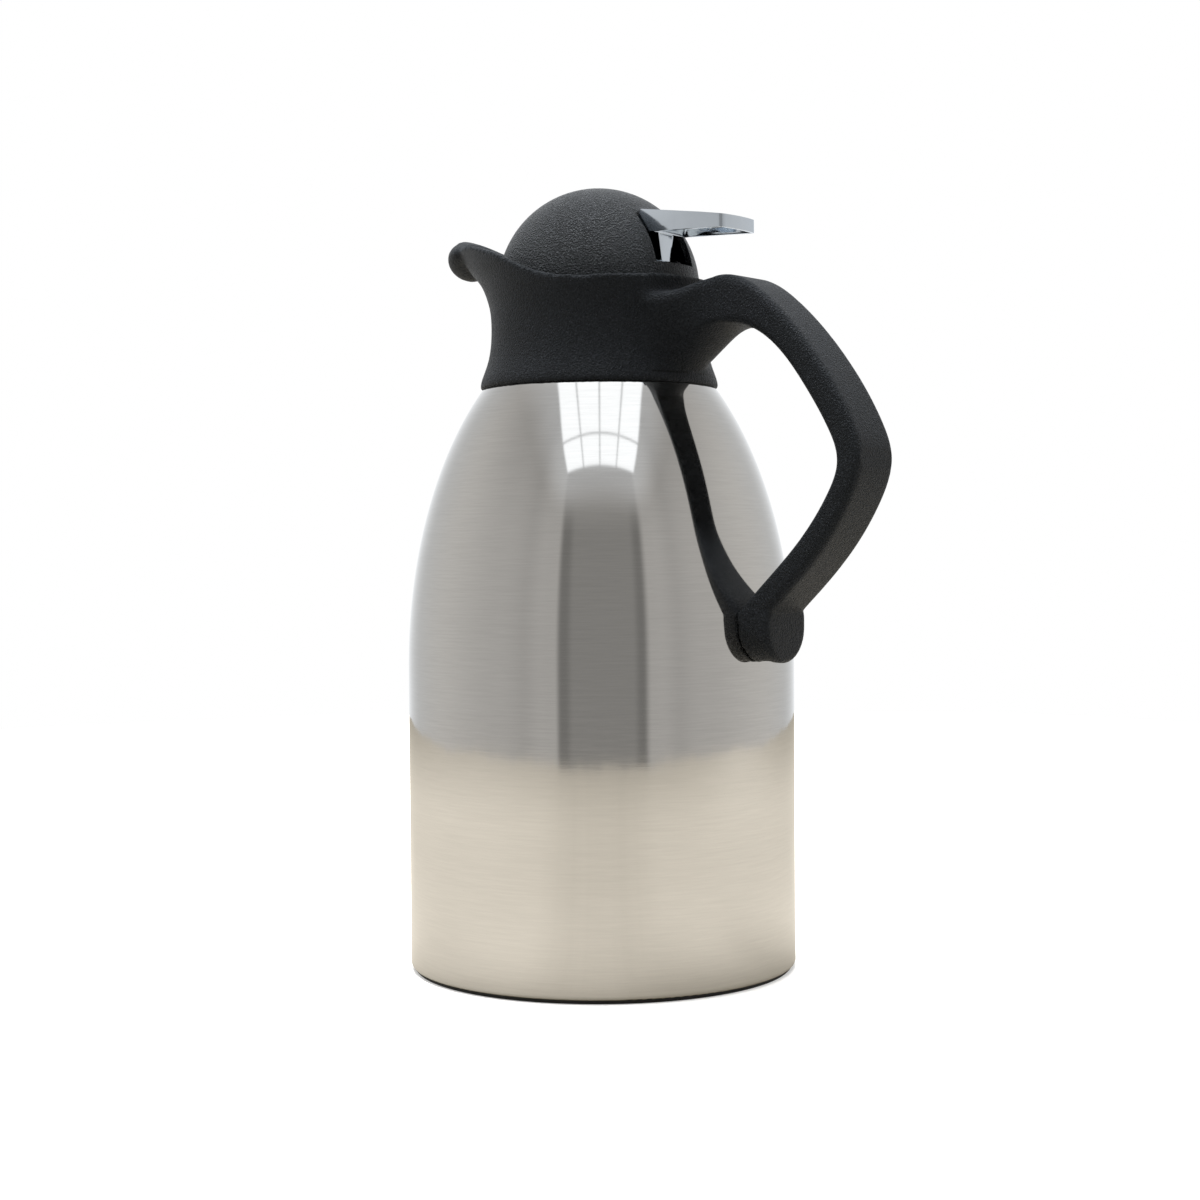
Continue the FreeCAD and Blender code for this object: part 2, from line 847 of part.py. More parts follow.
def dome_screws():
    start = stopper_top - screw_head_height
    tip = stopper_top + dome_screw_length
    return [screw(screw_radius, screw_head_radius, screw_head_height, start, tip, place)
            for place in boss_places()]


def deck_screws():
    seat = stopper_top + deck_thickness
    start = seat + screw_head_height
    tip = seat - deck_screw_length
    return [screw(screw_radius, screw_head_radius, screw_head_height, start, tip, place)
            for place in deck_screw_places()]


def lever():
    """Hollow tray outside the dome, with a leg down to the hub and a forked arm to the stem."""
    outline = [
        (lever_top_x, lever_top_inner),
        (lever_inner_x, lever_side_inner),
        (lever_skirt_x, lever_skirt_inner),
        (lever_tip_x, lever_skirt_tip),
        (lever_tip_x, lever_top_tip),
    ]
    corners = [V(x, -lever_half_width, z) for x, z in outline]
    face = Part.Face(Part.makePolygon(corners + corners[:1]))
    tray = face.extrude(ACROSS * 2 * lever_half_width)
    tip_edges = [edge for edge in tray.Edges
                 if all(abs(v.X - lever_tip_x) < on_plane for v in edge.Vertexes)
                 and abs(edge.Vertexes[0].Y - edge.Vertexes[-1].Y) < on_plane]
    tray = tray.makeFillet(lever_corner, tip_edges)
    slope = (lever_top_tip - lever_top_inner) / (lever_tip_x - lever_top_x)
    pocket_tip = lever_tip_x - lever_skin
    ceiling_start = lever_top_inner - lever_skin + slope * (pocket_inner_x - lever_top_x)
    ceiling_end = lever_top_tip - lever_skin - slope * lever_skin
    pocket_half = lever_half_width - lever_skin
    pocket_points = [
        V(pocket_inner_x, -pocket_half, lever_skirt_tip - overrun),
        V(pocket_inner_x, -pocket_half, ceiling_start),
        V(pocket_tip, -pocket_half, ceiling_end),
        V(pocket_tip, -pocket_half, lever_skirt_tip - overrun),
    ]
    pocket = Part.Face(Part.makePolygon(pocket_points + pocket_points[:1]))
    pocket = pocket.extrude(ACROSS * 2 * pocket_half)
    body = tray.cut(pocket)
    for share in lever_rib_shares:
        x = pocket_inner_x + (pocket_tip - pocket_inner_x) * share
        rib = block(x, x + rib_width, lever_half_width - lever_skin / 2,
                    lever_skirt_inner + rib_relief, lever_top_inner)
        body = body.fuse(rib.common(tray))
    leg_inner = pivot_x - leg_half_thickness
    leg_outer = pivot_x + leg_half_thickness
    leg_top = lever_skirt_inner + lever_skin
    leg_points = [
        V(leg_inner, -leg_foot_half_width, pivot_z),
        V(leg_inner, leg_foot_half_width, pivot_z),
        V(leg_inner, leg_head_half_width, leg_top),
        V(leg_inner, -leg_head_half_width, leg_top),
    ]
    body = body.fuse(Part.Face(Part.makePolygon(leg_points + leg_points[:1])).extrude(OUT * (leg_outer - leg_inner)))
    body = body.fuse(cross_rod(hub_radius, hub_half_width, pivot_x, pivot_z))
    arm_points = [
        V(-fork_overrun, -arm_half_width, arm_bottom),
        V(arm_neck_x, -arm_half_width, arm_bottom),
        V(pivot_x, -leg_foot_half_width, arm_bottom),
        V(pivot_x, leg_foot_half_width, arm_bottom),
        V(arm_neck_x, arm_half_width, arm_bottom),
        V(-fork_overrun, arm_half_width, arm_bottom),
    ]
    body = body.fuse(Part.Face(Part.makePolygon(arm_points + arm_points[:1])).extrude(UP * arm_thickness))
    body = body.cut(block(-fork_overrun - overrun, fork_root_x, fork_gap, arm_bottom - overrun,
                          arm_bottom + arm_thickness + overrun))
    body = body.cut(cross_rod(pin_radius + running_fit, hub_half_width + overrun, pivot_x, pivot_z))
    return one_solid(body)


def lever_pin():
    return cross_rod(pin_radius, ear_inner + ear_thickness + pin_overhang, pivot_x, pivot_z)


def plug_seat():
    return stopper_bottom + stopper_floor + seat_gap


def lift_pin_height():
    return arm_bottom + arm_thickness + lift_pin_gap + lift_pin_radius


def valve_stem():
    disc_bottom = plug_seat() + plug_thickness
    body = rod(stem_tail_radius, stem_tail_bottom, disc_bottom)
    body = body.fuse(rod(stem_disc_radius, disc_bottom, disc_bottom + stem_disc_thickness))
    body = body.fuse(rod(stem_radius, disc_bottom, stem_step))
    body = body.fuse(rod(stem_neck_radius, stem_step, stem_top))
    body = body.cut(cross_rod(lift_pin_radius, stem_radius, 0, lift_pin_height()))
    return one_solid(body)


def lift_pin():
    return cross_rod(lift_pin_radius, lift_pin_half_length, 0, lift_pin_height())


def valve_plug():
    bottom = plug_seat()
    body = rod(plug_radius, bottom, bottom + plug_thickness)
    body = body.fuse(rod(plug_nose_radius, bottom - plug_nose_depth, bottom))
    return body.cut(rod(stem_tail_radius, stem_tail_bottom, bottom + plug_thickness))


def spring_washer():
    return tube(washer_radius, stem_neck_radius, stem_step, stem_step + washer_thickness)


def valve_spring():
    half_wire = spring_wire / 2
    bottom = stem_step + washer_thickness + half_wire + spring_end_gap
    top = tower_top - tower_cap - half_wire - spring_end_gap
    pitch = (top - bottom) / spring_turns
    path = Part.makeHelix(pitch, top - bottom, spring_radius)
    path.translate(UP * bottom)
    slope = math.atan2(pitch, 2 * math.pi * spring_radius)
    heading = V(0, math.cos(slope), math.sin(slope))
    section = Part.Wire(Part.Circle(V(spring_radius, 0, bottom), heading, half_wire).toShape())
    return Part.Wire(path.Edges).makePipeShell([section], True, True)


def handle_place(reach_share, height_share):
    span = handle_reach if reach_share > 0 else shell_radius - handle_root_x
    x = shell_radius + span * reach_share
    z = handle_bottom + (handle_top - handle_bottom) * height_share
    return x, z


def handle_band():
    """Flat band from the root round to the lower block, with rounded edges."""
    half = handle_width / 2
    outer = [V(x, -half, z) for x, z in (handle_place(*share) for share in handle_outer_shares)]
    inner = [V(x, -half, z) for x, z in (handle_place(*share) for share in handle_inner_shares)]
    outline = Part.Wire([spline(outer), line(outer[-1], inner[0]), spline(inner), line(inner[-1], outer[0])])
    band = Part.Face(outline).extrude(ACROSS * handle_width)
    long_edges = [edge for edge in band.Edges
                  if edge.Length > handle_width * 2 and abs(edge.Vertexes[0].Y - edge.Vertexes[-1].Y) < handle_edge]
    return band.makeFillet(handle_edge, long_edges)


def root_section(reach_share, top_share, top_half_share, ridge_share, ridge_half_share, keel_share):
    x, top = handle_place(reach_share, top_share)
    ridge = handle_place(reach_share, ridge_share)[1]
    keel = handle_place(reach_share, keel_share)[1]
    half = handle_width * top_half_share
    ridge_half = handle_width * ridge_half_share
    bulge = root_edge * (1 - math.sqrt(0.5))
    right_top = V(x, half - root_edge, top)
    right_side = V(x, half, top - root_edge)
    left_top = V(x, root_edge - half, top)
    left_side = V(x, -half, top - root_edge)
    edges = [
        line(left_top, right_top),
        arc(right_top, V(x, half - bulge, top - bulge), right_side),
        line(right_side, V(x, ridge_half, ridge)),
        arc(V(x, ridge_half, ridge), V(x, 0, keel), V(x, -ridge_half, ridge)),
        line(V(x, -ridge_half, ridge), left_side),
        arc(left_side, V(x, bulge - half, top - bulge), left_top),
    ]
    return Part.Wire(edges)


def handle_block():
    """Lower end of the handle, round at the bottom when it is seen from outside."""
    start = shell_radius - block_half_width
    centre = handle_bottom + block_half_width
    edges = [
        line(V(start, -block_half_width, block_top), V(start, -block_half_width, centre)),
        arc(V(start, -block_half_width, centre), V(start, 0, handle_bottom), V(start, block_half_width, centre)),
        line(V(start, block_half_width, centre), V(start, block_half_width, block_top)),
        line(V(start, block_half_width, block_top), V(start, -block_half_width, block_top)),
    ]
    body = Part.Face(Part.Wire(edges)).extrude(OUT * (block_front - start))
    front = [edge for edge in body.Edges if all(abs(v.X - block_front) < on_plane for v in edge.Vertexes)]
    return body.makeFillet(block_edge, front)


def handle(envelope):
    sections = [root_section(*shares) for shares in root_section_shares]
    body = Part.makeLoft(sections, True, False)
    body = body.fuse(handle_band())
    body = body.fuse(handle_block())
    body = body.cut(collar_body())
    body = body.cut(envelope)
    pocket = block(shell_radius - block_half_width, bracket_end + bracket_play, bracket_half_width + bracket_play,
                   bracket_bottom, bracket_bottom + bracket_thickness + bracket_play)
    body = body.cut(pocket)
    head_top = handle_screw_head_bottom + handle_screw_head_height
    body = body.cut(rod(plug_hole_radius, handle_bottom - overrun, head_top, handle_screw_x))
    body = body.cut(rod(handle_screw_radius + running_fit, head_top, handle_screw_end + bracket_play,
                        handle_screw_x))
    return one_solid(body)


def handle_bracket(envelope):
    """Ledge welded to the shell, with the screw's thread."""
    top = bracket_bottom + bracket_thickness
    body = block(shell_radius - block_half_width, bracket_end, bracket_half_width, bracket_bottom, top)
    body = body.cut(envelope)
    return one_solid(body.cut(rod(handle_screw_radius, bracket_bottom, top, handle_screw_x)))


def handle_screw():
    place = V(handle_screw_x, 0, 0)
    return screw(handle_screw_radius, handle_screw_head_radius, handle_screw_head_height,
                 handle_screw_head_bottom, handle_screw_end, place)


def handle_plug():
    return rod(plug_hole_radius, handle_plug_bottom, handle_plug_bottom + handle_plug_height, handle_screw_x)


def build():
    envelope = shell_envelope()
    nodes = {
        "outer_shell": outer_shell(),
        "floor_pan": floor_pan(),
        "vacuum_seal": vacuum_seal(),
        "base_cap": base_cap(),
        "foot_ring": foot_ring(),
        "inner_flask": inner_flask(),
        "inner_flask_floor": inner_flask_floor(),
        "getter": getter(),
        "collar": collar(envelope),
        "shoulder_seal": shoulder_seal(envelope),
        "neck_gasket": neck_gasket(),
        "snap_ring": snap_ring(),
        "handle": handle(envelope),
        "handle_bracket": handle_bracket(envelope),
        "handle_screw": handle_screw(),
        "handle_screw_plug": handle_plug(),
        "stopper_body": stopper_body(),
        "stopper_gasket": stopper_gasket(),
        "lid_deck": lid_deck(),
        "deck_screws": Part.makeCompound(deck_screws()),
        "dome_cover": dome_cover(),
        "dome_screws": Part.makeCompound(dome_screws()),
        "lever_pin": lever_pin(),
        "press_lever": lever(),
        "valve_stem": valve_stem(),
        "lift_pin": lift_pin(),
        "valve_plug": valve_plug(),
        "spring_washer": spring_washer(),
        "valve_spring": valve_spring(),
    }
    os.makedirs("parts", exist_ok=True)
    for name, shape in nodes.items():
        print(name, "solids", len(shape.Solids), "valid", shape.isValid(), "volume", round(shape.Volume, 1))
        shape.exportStep("parts/" + name + ".step")


build()
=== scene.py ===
"""Looks of a thermal carafe: steel jug, black collar with spout and handle, domed stopper, bright lever."""
import json
import math

import bpy
from mathutils import Matrix, Vector


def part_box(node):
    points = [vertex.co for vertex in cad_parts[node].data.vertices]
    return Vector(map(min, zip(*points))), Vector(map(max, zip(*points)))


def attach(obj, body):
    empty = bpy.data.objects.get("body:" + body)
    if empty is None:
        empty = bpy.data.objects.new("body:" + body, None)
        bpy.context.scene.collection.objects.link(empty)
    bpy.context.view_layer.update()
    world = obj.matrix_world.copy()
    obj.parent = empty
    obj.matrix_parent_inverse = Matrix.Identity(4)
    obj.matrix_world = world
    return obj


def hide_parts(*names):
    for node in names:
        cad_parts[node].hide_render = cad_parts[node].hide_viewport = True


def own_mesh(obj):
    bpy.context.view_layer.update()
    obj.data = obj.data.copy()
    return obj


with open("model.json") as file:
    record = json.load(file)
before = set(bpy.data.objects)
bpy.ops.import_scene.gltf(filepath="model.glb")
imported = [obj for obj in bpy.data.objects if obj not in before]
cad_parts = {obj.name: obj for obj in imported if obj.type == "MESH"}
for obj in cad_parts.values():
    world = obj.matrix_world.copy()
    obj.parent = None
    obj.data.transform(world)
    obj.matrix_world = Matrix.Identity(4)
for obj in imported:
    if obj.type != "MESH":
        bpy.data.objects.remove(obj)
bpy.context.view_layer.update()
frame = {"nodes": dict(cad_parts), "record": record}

MM = 0.001
DEGREES = 180 / math.pi

# Where the photograph was taken from
view_azimuth = math.radians(38.5)
camera_distance = 0.7896
camera_height = 0.1613
camera_pitch = math.radians(1.44)
camera_roll = 0.0076
camera_side = -0.35 * MM
camera_near_limit = 0.01
focal_length = 61.05
sensor_width = 36.0

towards_camera = Vector((math.sin(view_azimuth), -math.cos(view_azimuth), 0))
camera_right = Vector((math.cos(view_azimuth), math.sin(view_azimuth), 0))


def add_camera():
    forward = -towards_camera * math.cos(camera_pitch) - Vector((0, 0, math.sin(camera_pitch)))
    level_up = camera_right.cross(forward)
    right = camera_right * math.cos(camera_roll) - level_up * math.sin(camera_roll)
    up = camera_right * math.sin(camera_roll) + level_up * math.cos(camera_roll)
    place = towards_camera * camera_distance + camera_right * camera_side + Vector((0, 0, camera_height))
    bpy.ops.object.camera_add()
    camera = bpy.context.object
    camera.name = "camera"
    camera.data.lens = focal_length
    camera.data.sensor_width = sensor_width
    camera.data.clip_start = camera_near_limit
    rotation = Matrix((right, up, -forward)).transposed().to_4x4()
    camera.matrix_world = Matrix.Translation(place) @ rotation
    bpy.context.scene.camera = camera


class Value:
    """A number on a shader socket that is reckoned with like any other number."""

    def __init__(self, sheet, socket):
        self.sheet = sheet
        self.socket = socket

    def __add__(self, other):
        return self.sheet.math("ADD", self, other)

    __radd__ = __add__

    def __sub__(self, other):
        return self.sheet.math("SUBTRACT", self, other)

    def __rsub__(self, other):
        return self.sheet.math("SUBTRACT", other, self)

    def __mul__(self, other):
        return self.sheet.math("MULTIPLY", self, other)

    __rmul__ = __mul__

    def __truediv__(self, other):
        return self.sheet.math("DIVIDE", self, other)

    def __rtruediv__(self, other):
        return self.sheet.math("DIVIDE", other, self)

    def __pow__(self, other):
        return self.sheet.math("POWER", self, other)

    def __lt__(self, other):
        return self.sheet.math("LESS_THAN", self, other)

    def __gt__(self, other):
        return self.sheet.math("GREATER_THAN", self, other)

    def __abs__(self):
        return self.sheet.math("ABSOLUTE", self)


class Sheet:
    """The node tree of a material or of the world, with short ways to add to it."""

    def __init__(self, owner):
        owner.use_nodes = True
        self.owner = owner
        self.tree = owner.node_tree
        self.tree.nodes.clear()

    def node(self, kind, inputs=(), **settings):
        """A node of a kind, with its settings, then its inputs as (name or number, value) pairs."""
        node = self.tree.nodes.new("ShaderNode" + kind)
        for name, value in settings.items():
            setattr(node, name, value)
        for place, value in inputs:
            if isinstance(value, Value):
                self.tree.links.new(value.socket, node.inputs[place])
            else:
                node.inputs[place].default_value = value
        return node

    def add(self, kind, inputs=(), output=0, **settings):
        """One output of a new node."""
        return Value(self, self.node(kind, inputs, **settings).outputs[output])

    def math(self, operation, *values):
        return self.add("Math", list(enumerate(values)), operation=operation)

    def clamp(self, value):
        """A value held between 0 and 1."""
        return self.add("Clamp", [("Value", value), ("Min", 0.0), ("Max", 1.0)])

    def rise(self, value, start, end):
        """Goes smoothly from 0 to 1 as the value goes from start to end."""
        return self.add("MapRange", [("Value", value), ("From Min", start), ("From Max", end)],
                        interpolation_type="SMOOTHSTEP")

    def fade(self, value, start, end):
        """Goes smoothly from 1 to 0 as the value goes from start to end."""
        return 1 - self.rise(value, start, end)

    def mix(self, factor, first, second):
        """Colour between two colours. Each colour is a triple or a Value."""
        first, second = (colour if isinstance(colour, Value) else (*colour, 1) for colour in (first, second))
        return self.add("Mix", [(0, factor), (6, first), (7, second)], output=2, data_type="RGBA")

    def shades(self, factor, tint, dark, light):
        """A tint that goes from a darker to a lighter share of itself as the factor goes from 0 to 1."""
        return self.mix(factor, *(tuple(min(1, part * share) for part in tint) for share in (dark, light)))

    def parts_of(self, vector):
        return [Value(self, output) for output in self.node("SeparateXYZ", [(0, vector)]).outputs]

    def vector(self, x, y, z):
        return self.add("CombineXYZ", [(0, x), (1, y), (2, z)])

    def noise(self, vector, scale, detail=2.0, roughness=0.5):
        return self.add("TexNoise", [("Vector", vector), ("Scale", scale), ("Detail", detail),
                                     ("Roughness", roughness)])

    def bump(self, height, distance, strength):
        return self.add("Bump", [("Strength", strength), ("Distance", distance), ("Height", height)])

    def place(self):
        return self.add("TexCoord", output="Object")

    def ray(self, kind):
        return self.add("LightPath", output=f"Is {kind} Ray")

    def principled(self, inputs):
        """Closes a material with the shader that has these inputs, and gives the material."""
        self.node("OutputMaterial", [("Surface", self.add("BsdfPrincipled", inputs))])
        return self.owner


def new_sheet(name):
    return Sheet(bpy.data.materials.new(name))


# Brush lines: noise cells per metre, round the axis and up it
fine_lines_across = 60
fine_lines_up = 1500
broad_lines_across = 4
broad_lines_up = 420


def brushed_steel(name, tint, rough, line_depth):
    """Steel with fine brush lines that run round the axis."""
    sheet = new_sheet(name)
    x, y, z = sheet.parts_of(sheet.place())
    fine = sheet.vector(x * fine_lines_across, y * fine_lines_across, z * fine_lines_up)
    fine = sheet.noise(fine, scale=1.0, detail=3.0, roughness=0.7)
    broad = sheet.vector(x * broad_lines_across, y * broad_lines_across, z * broad_lines_up)
    broad = sheet.noise(broad, scale=1.0)
    cloud = sheet.noise(sheet.place(), scale=14.0)
    wear = sheet.noise(sheet.place(), scale=70.0, detail=3.0)
    shade = broad * 0.06 + cloud * 0.24 + fine * 0.7
    lines = fine * 0.9 + broad * 0.1
    return sheet.principled([
        ("Base Color", sheet.shades(shade, tint, dark=0.86, light=1.13)),
        ("Roughness", rough + (fine - 0.5) * 0.04 + (wear - 0.5) * 0.03),
        ("Metallic", 1.0),
        ("Normal", sheet.bump(lines, distance=line_depth, strength=0.13)),
    ])


def plain_steel(name, tint, rough):
    """Drawn steel with faint clouds and hairlines."""
    sheet = new_sheet(name)
    cloud = sheet.noise(sheet.place(), scale=60.0, detail=3.0)
    hair = sheet.noise(sheet.place(), scale=2200.0)
    return sheet.principled([
        ("Base Color", sheet.shades(cloud, tint, dark=0.9, light=1)),
        ("Roughness", rough + (cloud - 0.5) * 0.1),
        ("Metallic", 1.0),
        ("Normal", sheet.bump(hair, distance=0.03 * MM, strength=0.2)),
    ])


# The short seam below the handle's root: a groove whose near-black colour, and its tick's, is painted shade.
# Its ends and its tick's place and width are in degrees.
seam_height = 226.6 * MM
seam_half_height = 0.35 * MM
seam_start = 4
seam_end = 26
seam_reach = 62.0 * MM
seam_depth = 3
seam_shade_colour = (0.001, 0.001, 0.001)
tick_height = 2.2 * MM
tick_place = 9
tick_half_width = 0.5


def moulding_seam(sheet):
    """Where the seam and its tick run, on the collar alone."""
    x, y, z = sheet.parts_of(sheet.place())
    around = abs(sheet.math("ARCTAN2", y, x) * DEGREES)
    line = (abs(z - seam_height) < seam_half_height) * (around > seam_start) * (around < seam_end)
    tick = abs(z - (seam_height + tick_height / 2)) < tick_height / 2
    tick = tick * (abs(around - tick_place) < tick_half_width)
    on_collar = (x * x + y * y) ** 0.5 < seam_reach
    return sheet.clamp(line + tick) * on_collar


plastic_sheen = (0.86, 0.94, 1.0, 1)


def grained_plastic(name, tint, rough, grain_size, grain_depth, strength=0.5, gloss=0.5, seam=False):
    """Moulded plastic with a spark-eroded grain, whose raised spots carry painted glints."""
    sheet = new_sheet(name)
    place = sheet.place()
    grain = sheet.noise(place, scale=1 / grain_size, detail=3.0, roughness=0.6)
    cells = sheet.add("TexVoronoi", [("Vector", place), ("Scale", 1 / grain_size)], output="Distance")
    cloud = sheet.noise(place, scale=40.0, detail=3.0)
    height = grain * 0.6 + cells * 0.4
    # The grain's own tone, with painted glints: raised spots painted lighter, hollows darker.
    raised_grain_and_glints = sheet.rise(height, 0.35, 0.75)
    colour = sheet.shades(cloud * 0.4 + raised_grain_and_glints * 0.6, tint, dark=0.3, light=1.75)
    if seam:
        seam_groove_and_shade = moulding_seam(sheet)
        height = height - seam_groove_and_shade * seam_depth
        # Painted shade: the seam's groove and its tick are coloured near-black.
        colour = sheet.mix(seam_groove_and_shade, colour, seam_shade_colour)
    return sheet.principled([
        ("Base Color", colour),
        ("Roughness", rough + (raised_grain_and_glints - 0.5) * 0.14 + (cloud - 0.5) * 0.1),
        ("Specular IOR Level", gloss),
        ("Specular Tint", plastic_sheen),
        ("Normal", sheet.bump(height, grain_depth, strength)),
    ])


def chrome(name, tint):
    """Bright plating with the faint waviness of the moulding below it."""
    sheet = new_sheet(name)
    wave = sheet.noise(sheet.place(), scale=90.0)
    cloud = sheet.noise(sheet.place(), scale=260.0, detail=3.0)
    return sheet.principled([
        ("Base Color", sheet.shades(cloud, tint, dark=0.93, light=1)),
        ("Roughness", 0.06 + cloud * 0.08),
        ("Metallic", 1.0),
        ("Normal", sheet.bump(wave, distance=0.6 * MM, strength=0.12)),
    ])


def soft_rubber(name, tint, rough):
    """Rubber, or dull glass, with clouds and a dusty skin."""
    sheet = new_sheet(name)
    place = sheet.place()
    cloud = sheet.noise(place, scale=120.0, detail=4.0)
    dust = sheet.noise(place, scale=900.0)
    return sheet.principled([
        ("Base Color", sheet.shades(cloud, tint, dark=0.85, light=1.15)),
        ("Roughness", rough + (cloud - 0.5) * 0.15),
        ("Normal", sheet.bump(dust, distance=0.05 * MM, strength=0.3)),
    ])


finishes = {}


def add_finish(make, name, tint, **settings):
    """Makes a material and keeps it under its slot's name."""
    finishes[name] = make(name, tint, **settings)


def add_finishes():
    add_finish(brushed_steel, "brushed_shell", (0.62, 0.615, 0.605), rough=0.06, line_depth=0.01 * MM)
    add_finish(brushed_steel, "inner_steel", (0.60, 0.60, 0.60), rough=0.2, line_depth=0.03 * MM)
    add_finish(plain_steel, "hardware_steel", (0.56, 0.56, 0.57), rough=0.25)
    add_finish(plain_steel, "spring_steel", (0.5, 0.5, 0.52), rough=0.3)
    add_finish(soft_rubber, "glass_solder", (0.2, 0.22, 0.22), rough=0.35)
    add_finish(grained_plastic, "base_plastic", (0.012, 0.012, 0.013), rough=0.55,
               grain_size=0.9 * MM, grain_depth=0.04 * MM)
    add_finish(soft_rubber, "foot_rubber", (0.010, 0.010, 0.011), rough=0.7)
    add_finish(grained_plastic, "black_plastic", (0.0102, 0.0113, 0.0129), rough=0.48,
               grain_size=0.7 * MM, grain_depth=1.2 * MM, strength=1.0, gloss=0.17, seam=True)
    add_finish(grained_plastic, "dome_plastic", (0.021, 0.0225, 0.0244), rough=0.42,
               grain_size=0.7 * MM, grain_depth=2.2 * MM, strength=1.0, gloss=0.34)
    add_finish(grained_plastic, "stopper_plastic", (0.014, 0.014, 0.015), rough=0.5,
               grain_size=0.8 * MM, grain_depth=0.03 * MM)
    add_finish(soft_rubber, "seal_rubber", (0.3, 0.3, 0.29), rough=0.5)
    add_finish(chrome, "lever_chrome", (0.66, 0.73, 0.82))


def dress(piece, slot):
    piece.data.materials.clear()
    piece.data.materials.append(finishes[slot])


def dress_nodes():
    slots = {entry["node"]: entry["material_slot"] for entry in frame["record"]["subparts"]}
    for name, node in frame["nodes"].items():
        dress(node, slots[name])


merge_gap = 0.001 * MM
crease_angle = math.radians(35)
smoothing_share = 0.5


def deselect():
    if bpy.context.object and bpy.context.object.mode != "OBJECT":
        bpy.ops.object.mode_set(mode="OBJECT")
    bpy.ops.object.select_all(action="DESELECT")


def choose(piece):
    deselect()
    piece.select_set(True)
    bpy.context.view_layer.objects.active = piece


def settle(piece):
    """Puts a piece's place into its mesh."""
    choose(piece)
    bpy.ops.object.transform_apply(location=True, rotation=True, scale=True)


def tidy_mesh(piece):
    """Merges the corners that meet and turns every face outwards."""
    choose(piece)
    bpy.ops.object.mode_set(mode="EDIT")
    bpy.ops.mesh.select_all(action="SELECT")
    bpy.ops.mesh.remove_doubles(threshold=merge_gap)
    bpy.ops.mesh.normals_make_consistent(inside=False)
    bpy.ops.object.mode_set(mode="OBJECT")


def modify(piece, kind, **settings):
    """Adds a modifier and applies it."""
    choose(piece)
    modifier = piece.modifiers.new(kind, kind)
    for name, value in settings.items():
        setattr(modifier, name, value)
    bpy.ops.object.modifier_apply(modifier=modifier.name)


def smooth(piece, rounds, group=""):
    modify(piece, "SMOOTH", factor=smoothing_share, iterations=rounds, vertex_group=group)


def swell(piece, distance, group=""):
    """Moves the skin outwards."""
    modify(piece, "DISPLACE", strength=distance, mid_level=0.0, vertex_group=group)


def weigh(piece, name, weight_at):
    """A group of a piece's corners, each with the weight that its place gets."""
    group = piece.vertex_groups.new(name=name)
    for corner in piece.data.vertices:
        weight = weight_at(corner.co)
        if weight > 0:
            group.add([corner.index], weight, "REPLACE")


def copy_of(node, name):
    """A free copy of a CAD node, with its corners merged."""
    piece = frame["nodes"][node].copy()
    piece.data = piece.data.copy()
    piece.parent = None
    bpy.context.scene.collection.objects.link(piece)
    for key in list(piece.keys()):
        del piece[key]
    piece.name = name
    tidy_mesh(piece)
    return piece


def ring_stack(name, rings, segments):
    """A turned shell: a circle drawn out through (radius, height) rings back to where it started."""
    deselect()
    radius, height = rings[0]
    bpy.ops.mesh.primitive_circle_add(vertices=segments, radius=radius, location=(0, 0, height))
    piece = bpy.context.object
    piece.name = name
    settle(piece)
    bpy.ops.object.mode_set(mode="EDIT")
    bpy.ops.mesh.select_all(action="SELECT")
    for (r0, z0), (r1, z1) in zip(rings, rings[1:]):
        bpy.ops.mesh.extrude_region_move(TRANSFORM_OT_translate={"value": (0, 0, z1 - z0)})
        bpy.ops.transform.resize(value=(r1 / r0, r1 / r0, 1), center_override=(0, 0, z1))
    bpy.ops.object.mode_set(mode="OBJECT")
    tidy_mesh(piece)
    return piece


shell_wall = 0.8 * MM
shell_segments = 256
shoulder_foot = 115.0 * MM
shoulder_rise = 135.2 * MM
shoulder_steps = 44
neck_radius = 36.0 * MM


def shoulder_rings(side, inset):
    """The shoulder's rings from its foot up to the neck, on the outer face or inset from it."""
    last = math.acos((neck_radius - inset) / (side - inset))
    angles = [last * step / shoulder_steps for step in range(shoulder_steps + 1)]
    return [((side - inset) * math.cos(angle), shoulder_foot + (shoulder_rise - inset) * math.sin(angle))
            for angle in angles]


def steel_shell():
    """The jug's outer wall: straight side, quarter-ellipse shoulder and neck."""
    low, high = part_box("outer_shell")
    side = high.x
    rings = [(side, low.z), (side, (low.z + shoulder_foot) / 2)]
    rings += shoulder_rings(side, 0)
    rings += [(neck_radius, high.z), (neck_radius - shell_wall, high.z)]
    rings += shoulder_rings(side, shell_wall)[::-1]
    rings += [(side - shell_wall, low.z), (side, low.z)]
    piece = ring_stack("steel_shell", rings, shell_segments)
    bpy.ops.object.shade_smooth_by_angle(angle=crease_angle)
    dress(piece, "brushed_shell")
    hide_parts("outer_shell")
    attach(piece, "jug")


skin_voxel = 0.8 * MM
skin_rounds = 8
skin_swell = 0.3 * MM

# The blend between handle and collar, along the seam of its root
root_seam_radius = 45.0 * MM
root_blend = 12.0 * MM
root_height = 243.0 * MM
root_half_height = 18.0 * MM
root_half_width = 34.0 * MM
root_steepness = 2
root_rounds = 160

# The rounding of the spout's tip
tip_start = -55.0 * MM
tip_fade = 5.0 * MM
tip_rounds = 22
tip_swell = 0.8 * MM


def root_weight(place):
    """How much of the blend between handle and collar a place gets: most along their seam."""
    if place.x < 0 or abs(place.y) > root_half_width:
        return 0
    near_seam = max(0, 1 - abs(math.hypot(place.x, place.y) - root_seam_radius) / root_blend)
    between = max(0, 1 - abs(place.z - root_height) / root_half_height)
    return min(1, root_steepness * near_seam) * min(1, root_steepness * between)


def tip_weight(place):
    """How much of the rounding of the spout's tip a place gets."""
    return min(1, (tip_start - place.x) / tip_fade)


